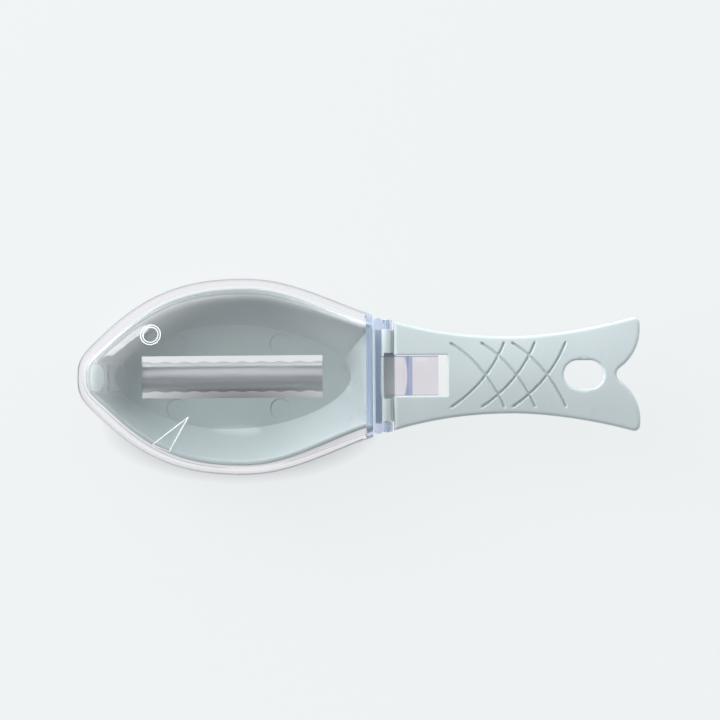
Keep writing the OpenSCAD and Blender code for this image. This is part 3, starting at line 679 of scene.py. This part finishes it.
def make_handle():
    outer, hole = handle_edges()
    loop, hole_loop = np.concatenate([p[:-1] for p, _ in outer]), hole[0][:-1]
    flat = np.concatenate([loop, hole_loop, inner_points(outer, hole, loop, hole_loop)])
    n_loop, n_hole = len(loop), len(hole_loop)
    fixed = [(i, (i + 1) % n_loop) for i in range(n_loop)]
    fixed += [(n_loop + i, n_loop + (i + 1) % n_hole) for i in range(n_hole)]
    verts, _, faces, *_ = delaunay_2d_cdt([Vector(p) for p in flat], fixed, [], 0, 1e-6)
    flat = np.array([tuple(v) for v in verts])
    faces = np.array([f for f in faces if len(f) == 3])
    centre = flat[faces].mean(1)
    faces = faces[inside_of(centre, loop) & ~inside_of(centre, hole_loop)]
    # Height of the top and of the underside, with the rounded edges, the crown and the grooves
    drop = np.zeros(len(flat))
    for line, r in outer + [hole]:
        d = np.minimum(far_from(flat, line, line is hole[0]), r)
        drop = np.maximum(drop, r - np.sqrt(np.maximum(0, r * r - (r - d) ** 2)))
    share = (flat[:, 0] - HANDLE_X) / (BLANK_X - HANDLE_X)
    thick = HANDLE_T + (TAIL_T - HANDLE_T) * share
    crown = CROWN_DROP * (np.abs(flat[:, 1]) / half_at(flat[:, 0])) ** 2
    top = HANDLE_TOP - crown - drop - groove_depth(flat)
    low = np.minimum(HANDLE_TOP - thick + crown * 0.5 + drop, top - THINNEST)
    n = len(flat)
    a, b, c = (flat[faces[:, k]] for k in range(3))
    turn = (b[:, 0] - a[:, 0]) * (c[:, 1] - a[:, 1]) - (b[:, 1] - a[:, 1]) * (c[:, 0] - a[:, 0])
    over = [tuple(map(int, f)) for f in np.where(turn[:, None] > 0, faces, faces[:, ::-1])]
    under = [(f[2] + n, f[1] + n, f[0] + n) for f in over]
    edges = [(f[i], f[(i + 1) % 3]) for f in over for i in range(3)]
    shared = set(edges)
    walls = [(b, a, a + n, b + n) for a, b in edges if (b, a) not in shared]
    return obj_from("handle", np.concatenate([level(flat, top), level(flat, low)]), over + under + walls)


# The neck, its bridge under the lever, the knuckles and the stub pins
BRIDGE_LOW, BRIDGE_CLIMB, FOOT_IN, TOP_IN, FOOT_HALF, FOOT_DEEP = 11.5, 4, 6, 2, 1.65, 0.5
BRIDGE_X, STOP_X, STOP_TOP_X, STOP_Z = 1.7, 3.6, 3.1, (5.85, 4.9, 4.6)
RAIL_L, RAIL_CLIMB, RAIL_LOW, RAIL_HIGH = 11, 3.5, 0.5, 2
LEDGE_L, LEDGE_RISE, GAP_FRONT, GAP_BACK, GAP_SIDE, GAP_HIGH = 2.6, 0.3, 0.9, 6, 0.8, 9
PIN_L, PIN_EDGE, BARREL_EDGE, BRIDGE_EDGE, INSET = 4.6, 0.2, 0.15, 0.12, 0.01


def make_neck():
    low = HINGE_Z - BRIDGE_LOW
    back, stop = HINGE_X + BRIDGE_X, HINGE_X + STOP_X
    bridge = [(DOME_END - FOOT_IN, low), (back, low + BRIDGE_CLIMB), (back, HINGE_Z - STOP_Z[0]),
        (stop, HINGE_Z - STOP_Z[1]), (stop, HINGE_Z - STOP_Z[2]), (HINGE_X + STOP_TOP_X, NECK_TOP),
        (DOME_END - TOP_IN, NECK_TOP)]
    neck = prism("neck", bridge, -KNUCKLE_OUT, KNUCKLE_OUT, "Y", BRIDGE_EDGE, 2)
    rail_end, under = HINGE_X + RAIL_L, HANDLE_TOP - HANDLE_T
    rail = [(HINGE_X, low + RAIL_CLIMB), (rail_end, under + RAIL_LOW), (rail_end, under + RAIL_HIGH),
        (HINGE_X, NECK_TOP)]
    for s in (-1, 1):
        a, b = sorted((s * (WINDOW_H + 2 * INSET), s * (KNUCKLE_OUT - 2 * INSET)))
        combine(neck, "UNION", prism("rail", rail, a, b, "Y"))
    barrel = rod("barrel", (HINGE_X, 0, HINGE_Z), (0, 1, 0), KNUCKLE_D / 2, 2 * KNUCKLE_OUT, BARREL_EDGE)
    side, foot_z = KNUCKLE_OUT - INSET, NECK_TOP - FOOT_DEEP
    foot = block("foot", (HINGE_X - FOOT_HALF, -side, foot_z), (HINGE_X + FOOT_HALF, side, HINGE_Z))
    ledge = block("ledge", (HINGE_X, -side, foot_z), (HINGE_X + LEDGE_L, side, HINGE_Z + LEDGE_RISE))
    combine(barrel, "UNION", foot, ledge)
    gap_y = WINDOW_H + GAP_SIDE
    gap = block("gap", (HINGE_X - GAP_FRONT, -gap_y, NECK_TOP - 1), (HINGE_X + GAP_BACK, gap_y, HINGE_Z + GAP_HIGH))
    combine(barrel, "DIFFERENCE", gap)
    combine(neck, "UNION", barrel)
    for s in (-1, 1):
        pin = rod("pin", (HINGE_X, s * (KNUCKLE_OUT + EAR_T / 2), HINGE_Z), (0, 1, 0), PIN_D / 2, PIN_L, PIN_EDGE)
        combine(neck, "UNION", pin)
    return neck


# The clear lid
WIDE, HIGH, PAST_END, SIDE_SHARE, RIM_ROOM = HEAD_W, 60, 9, 1.16, 0.4
LIP_R, LIP_SINK, EYE_LINE_R, EYE_LINE_SINK = (0.2, 0.27), 0.08, 0.2, 0.12
EYE_EDGE, EYE_IN_EDGE, EYE_LINE_IN = 0.42, 0.3, 0.05
MOUTH_SKIN, CATCH_CUT, CATCH_GAP = (0.99, 0.9), 0.7, 0.03
WEB_INSET, WEB_RISE, WEB_EDGE, EAR_EDGE, ARM_INSET, ARM_EDGE = 0.5, 0.6, 0.3, 0.25, 0.02, 0.2
LAP, LINK_INSET, LINK_LOW, LINK_HIGH, LINK_EDGE = 0.5, 0.3, 0.2, 2.2, 0.1
RIB_X, RIB_RISE, RIB_INSET, RIB_R = 113.62, 2.2, 1.6, 0.5
PAD_RISE, LIP_H, LIP_L, ROOT_LAP, LEVER_EDGE = 0.2, 0.9, 2.4, 0.4, 0.4
FILLET_X, FILLET_L, FILLET_H, SHOULDER_X = 3.5, 1.9, 2.1, 1.6


def crown_z(x, x_nose, h, h_end, x_end):
    front = h * (1 - np.clip((CROWN_X - x) / (CROWN_X - x_nose), 0, 1) ** NOSE_POWER) ** DOME_EDGE
    rear = h - (h - h_end) * ((x - CROWN_X) / (x_end - CROWN_X)) ** 2
    return np.where(x < CROWN_X, front, rear)


def flank(out):
    return (1 - np.minimum(1, out) ** DOME_POWER) ** DOME_EDGE


def dome(name, gap, down, z_low, x_end, across=96):
    """A filled dome over the head's outline, drawn in by a gap and lowered."""
    u = np.concatenate([np.linspace(0, AT_CHEEK, 37)[:-1], np.linspace(AT_CHEEK, AT_WIDEST, 41)[:-1],
        np.linspace(AT_WIDEST, AT_END, 61)])
    plan = outline_at(u, x_end, gap, gap)
    h, h_end = DOME_H + SKIRT_DROP - down, DOME_END_H + SKIRT_DROP - down
    e = np.sin(np.linspace(-math.pi / 2, math.pi / 2, across + 1))
    verts = [(plan[0][0], 0, z_low)]
    for x, w in plan[1:]:
        c = float(crown_z(x, plan[0][0], h, h_end, x_end))
        verts += [(x, k * w, z_low + c * float(flank(abs(k)))) for k in e]
    m, n = across + 1, len(plan) - 1
    faces = [(0, 2 + j, 1 + j) for j in range(across)]
    for i in range(n - 1):
        for j in range(across):
            a = 1 + i * m + j
            faces.append((a, a + 1, a + m + 1, a + m))
    faces += [(0, 1, m)] + [(1 + i * m, 1 + (i + 1) * m, (i + 2) * m, (i + 1) * m) for i in range(n - 1)]
    faces.append(tuple(1 + (n - 1) * m + j for j in range(m)))
    return solid(name, verts, faces)


def dome_z(x, y):
    c = crown_z(np.float64(x), 0, DOME_H + SKIRT_DROP, DOME_END_H + SKIRT_DROP, DOME_END)
    return float(SKIRT_Z + c * flank(abs(y) / half_at(x)))


def tube(name, points, r, n=12):
    """A rounded cord along points, as thin as the line that it draws."""
    p = np.asarray(points, float)
    d = np.gradient(p, axis=0)
    d /= np.linalg.norm(d, axis=1, keepdims=True)
    across = np.cross(d, [0, 0, 1])
    across /= np.linalg.norm(across, axis=1, keepdims=True)
    up = np.cross(across, d)
    turn = [(math.cos(v), math.sin(v)) for v in np.linspace(0, 2 * math.pi, n + 1)[:-1]]
    return rings(name, [np.array([p[k] + r * (c * across[k] + w * up[k]) for c, w in turn])
        for k in range(len(p))])


def dome_shell(name):
    lid = dome(name, 0, 0, SKIRT_Z, DOME_END)
    combine(lid, "DIFFERENCE", dome("hollow", LID_T * SIDE_SHARE, LID_T, SKIRT_Z - 0.01, DOME_END - END_T))
    gap = OVERHANG - RIM_ROOM
    loop = whole(outline_at(np.linspace(0, AT_END, 136), DOME_END + RIM_ROOM, gap, gap))
    return combine(lid, "DIFFERENCE", rings("room", [level(loop, z) for z in (SKIRT_Z - 1, RIM_Z)]))


def eye_place():
    """The eye's middle on the dome and the way that the dome faces there."""
    x, y = EYE
    out = Vector((dome_z(x - 0.5, y) - dome_z(x + 0.5, y), dome_z(x, y - 0.5) - dome_z(x, y + 0.5), 1))
    return Vector((x, y, dome_z(x, y))), out.normalized()


def make_lines():
    """The rounded edges of the eye's ring and of the mouth, which catch the light."""
    lips = []
    start = np.array(MOUTH[0])
    for end, r in zip(MOUTH[1:], LIP_R):
        line = [start + (np.array(end) - start) * t for t in np.linspace(0, 1.0, 40)]
        lips.append(tube("lip", [(x, y, dome_z(x, y) - LIP_SINK) for x, y in line], r))
    lines = combine(lips[0], "UNION", lips[1])
    lines.name = "lid_lines"
    at, out = eye_place()
    turn = upright_to(out)
    n, m, r = 96, 12, EYE_LINE_R
    for radius in (EYE_D / 2 - r, EYE_D / 2 - EYE_WALL - EYE_LINE_IN):
        verts, faces = [], []
        for i in range(n):
            for j in range(m):
                a, b = 2 * math.pi * i / n, 2 * math.pi * j / m
                far, rise = radius + r * math.cos(b), EYE_RISE - EYE_LINE_SINK + r * math.sin(b)
                verts.append(Vector((far * math.cos(a), far * math.sin(a), rise)))
                nxt, up = (i + 1) % n, (j + 1) % m
                faces.append((i * m + j, nxt * m + j, nxt * m + up, i * m + up))
        combine(lines, "UNION", obj_from("circle", [at + turn @ v for v in verts], faces))
    return lines


def make_dome():
    lid = dome_shell("lid_dome")
    beyond = block("beyond", (DOME_END - END_T - 0.02, -WIDE, 0), (DOME_END + PAST_END, WIDE, HIGH))
    combine(lid, "DIFFERENCE", beyond)
    mouth = prism("mouth", MOUTH, RIM_Z - 1, RIM_Z + DOME_H + 1, "Z")
    combine(mouth, "DIFFERENCE", dome("under", *MOUTH_SKIN, SKIRT_Z - 1, DOME_END))
    combine(lid, "DIFFERENCE", mouth)
    at, out = eye_place()
    eye = rod("eye", at + out * (EYE_RISE - 1) / 2, out, EYE_D / 2, 1 + EYE_RISE, EYE_EDGE)
    eye_in = rod("eye_in", at + out * (EYE_RISE + 1) / 2, out, EYE_D / 2 - EYE_WALL, EYE_RISE + 1, EYE_IN_EDGE)
    combine(eye, "DIFFERENCE", eye_in)
    return combine(lid, "UNION", eye)


def make_catch():
    """The frame and the snap tongue that hang from the dome at the nose."""
    half, cut, inside = CATCH_W / 2, CATCH_CUT, CATCH_W / 2 - FRAME_T
    plan = [(CATCH_FRONT, -half), (CATCH_X - cut, -half), (CATCH_X, cut - half), (CATCH_X, half - cut),
        (CATCH_X - cut, half), (CATCH_FRONT, half)]
    catch = prism("lid_catch", plan, RIM_Z, RIM_Z + DOME_H, "Z")
    combine(catch, "DIFFERENCE", block("inner", (CATCH_FRONT - 1, -inside, 0), (CATCH_X - FRAME_T, inside, HIGH)))
    snap_x, snap_y = SHELF_X + SHELF_R + SNAP_GAP, half - SNAP_SIDE
    snap = block("snap", (snap_x, -snap_y, SKIRT_Z + 0.1), (snap_x + SNAP_T, snap_y, SKIRT_Z + DOME_H))
    combine(catch, "UNION", snap)
    return combine(catch, "INTERSECT", dome("skin", LID_T + CATCH_GAP, LID_T + CATCH_GAP, SKIRT_Z, DOME_END))


def make_hinge():
    lid = dome_shell("lid_hinge")
    combine(lid, "INTERSECT", block("end", (DOME_END - END_T, -WIDE, 0), (DOME_END + PAST_END, WIDE, HIGH)))
    web_end, web_y = WEB_X + WEB_T, float(half_at(WEB_X + WEB_T)) - WEB_INSET
    web_top, link_y = HINGE_Z + LEVER_RISE + WEB_RISE, web_y - LINK_INSET
    web = block("web", (WEB_X, -web_y, HINGE_Z - EAR_R), (web_end, web_y, web_top), WEB_EDGE)
    link = block("link", (DOME_END - LAP, -link_y, RIM_Z + LINK_LOW), (WEB_X + LAP, link_y, RIM_Z + LINK_HIGH),
        LINK_EDGE)
    combine(lid, "UNION", web, link)
    arm_y, arm_z = EAR_T / 2 - ARM_INSET, EAR_R - ARM_INSET
    for s in (-1, 1):
        y = s * (EAR_OUT - EAR_T / 2)
        ear = rod("ear", (HINGE_X, y, HINGE_Z), (0, 1, 0), EAR_R, EAR_T, EAR_EDGE)
        arm = block("arm", (web_end - LAP, y - arm_y, HINGE_Z - arm_z), (HINGE_X, y + arm_y, HINGE_Z + arm_z),
            ARM_EDGE)
        combine(ear, "UNION", arm)
        combine(ear, "DIFFERENCE", rod("bore", (HINGE_X, y, HINGE_Z), (0, 1, 0), PIN_D / 2 + PIN_GAP, 8))
        combine(lid, "UNION", ear)
    return lid


def make_rib():
    """The rounded rib across the hinge, on top of the lid's end wall."""
    y = float(half_at(RIB_X)) - RIB_INSET
    return tube("lid_rib", [(RIB_X, v, RIM_Z + RIB_RISE) for v in np.linspace(-y, y, 12)], RIB_R)


def make_lever():
    """The root on the web, the step down, the flat pad and the raised lip at its end."""
    root, pad = HINGE_Z + LEVER_RISE, HINGE_Z + PAD_RISE
    root_top, pad_top, lip_top = root + LEVER_T, pad + LEVER_T, pad + LEVER_T + LIP_H
    back, lip_x = WEB_X + WEB_T - ROOT_LAP, LEVER_X - LIP_L
    hollow = [(STEP_X + FILLET_X - FILLET_L * math.sin(a), pad_top + FILLET_H - FILLET_H * math.cos(a))
        for a in np.linspace(0, math.pi / 2, 7)]
    side = [(back, root), (STEP_X, root), (STEP_X, pad), (LEVER_X, pad), (LEVER_X, lip_top), (lip_x, lip_top),
        (lip_x, pad_top), *hollow, (STEP_X + SHOULDER_X, root_top), (back, root_top)]
    return prism("lid_lever", side, -LEVER_W / 2, LEVER_W / 2, "Y", LEVER_EDGE)


# Camera, floor and light, in metres
AIM, AIM_Z, LENS, SENSOR, VIEW_W, ROLL = (0.0008, 0.0061), 0.019, 200.0, 36.0, 0.2745, -0.43
FLOOR_GREY, FLOOR_GLOW, ROOM_TINT = (0.09, 0.09, 0.09, 1), (0.955, 0.99, 1.0, 1), (0.97, 0.99, 1.0, 1)
# The floor glows less under the bowl, where a real one lies in shadow: an ellipse, and its glow inside and out
SHADE_AT, SHADE_HALF = (-0.045, -0.018, 0), (0.055, 0.0235, 1)
SHADE_GLOW, FULL_GLOW, SHADE_CORE, SHADE_RIM = 0.14, 0.80, 0.35, 1.0
# Directions in the room, and its lights: how strong each is, and along which ways it fades in from where to where
WAYS = {"wall": (-0.5, 0.87, 0.0), "front": (-0.9, 0.43, 0.0), "lamp": (0.02, -0.46, 0.887)}
DIM = 0.16
LIGHTS = (
    (0.6, ("Y", -0.14, 0.3)),
    (1.9, ("wall", 0.15, 0.7), ("Z", 0.48, 0.05)),
    (0.6, ("wall", 0.15, 0.7), ("Z", 0.2, 0.0)),
    (0.55, ("X", 0.15, 0.5), ("Z", 0.97, 0.8)),
    (1.4, ("Z", 0.35, 0.0), ("Y", -0.6, 0.1)),
    (2.0, ("front", 0.35, 0.8)),
    (1.5, ("lamp", 0.9945, 0.9965)),
)
KEY_AT, KEY_TOWARD, KEY = (-0.75, 0.62, 0.42), (0, 0, 0.01), {"energy": 5.7, "size": 0.5, "size_y": 0.36}


def look(name, data, at, toward, **values):
    for k, v in values.items():
        setattr(data, k, v)
    o = linked(name, data)
    o.location = at
    o.rotation_euler = (Vector(toward) - Vector(at)).to_track_quat("-Z", "Y").to_euler()
    return o


def lit_floor():
    bpy.ops.mesh.primitive_plane_add(size=6, location=(0, 0, -0.0001))
    floor = bpy.context.object
    floor.name = "floor"
    m, t, p = new_material("floor", Base_Color=FLOOR_GREY, Roughness=1.0, Specular_IOR_Level=0.0,
        Emission_Color=FLOOR_GLOW)
    off = vectors(t, "SUBTRACT", coords(t, "Object"), SHADE_AT)
    far = vectors(t, "LENGTH", vectors(t, "DIVIDE", off, SHADE_HALF), (0, 0, 0), "Value")
    t.links.new(ramp(t, far, SHADE_GLOW, FULL_GLOW, SHADE_CORE, SHADE_RIM), p.inputs["Emission Strength"])
    floor.data.materials.append(m)


def stage():
    scene = bpy.context.scene
    scene.view_settings.view_transform = "Standard"
    above = AIM_Z + VIEW_W * LENS / SENSOR
    cam = look("camera", bpy.data.cameras.new("camera"), (*AIM, above), (*AIM, AIM_Z), lens=LENS,
        sensor_width=SENSOR)
    cam.rotation_euler = (0, 0, math.radians(ROLL))
    scene.camera = cam
    lit_floor()
    world = bpy.data.worlds.new("world")
    scene.world = world
    world.use_nodes = True
    t = world.node_tree
    way = coords(t, "Generated")
    ways = split(t, way)
    ways.update({name: vectors(t, "DOT_PRODUCT", way, toward, "Value") for name, toward in WAYS.items()})
    total = DIM
    for strength, *fades in LIGHTS:
        for name, dark, bright in fades:
            strength = maths(t, "MULTIPLY", strength, ramp(t, ways[name], 0, 1, dark, bright, "SMOOTHSTEP"))
        total = maths(t, "ADD", total, strength)
    back = t.nodes["Background"]
    back.inputs["Color"].default_value = ROOM_TINT
    t.links.new(total, back.inputs["Strength"])
    key = look("key", bpy.data.lights.new("key", "AREA"), KEY_AT, KEY_TOWARD, shape="RECTANGLE", **KEY)
    key.visible_glossy = False


stage()
finished(make_bowl(), "base", "body", "moulding", 22)
finished(make_handle(), "base", "body", "moulding", 50)
finished(make_neck(), "base", "body", "moulding", 30)
finished(make_blade(), "base", "blade", "steel", 30)
finished(make_dome(), "cover", "lid", "clear", 30)
finished(make_catch(), "cover", "lid", "clear", 30, shades=False)
# The mouth's and the eye's lines are partly opaque and pale, a painted highlight
finished(make_lines(), "cover", "lid", "clear", 40, "clear_with_painted_highlight", shades=False)
finished(make_hinge(), "cover", "lid", "clear", 30, "clear_thick", shades=False)
# The rib is partly opaque and pale, a painted highlight
finished(make_rib(), "cover", "lid", "clear", 40, "clear_rib", shades=False)
finished(make_lever(), "cover", "lid", "clear", 30, "clear_lever", shades=False)
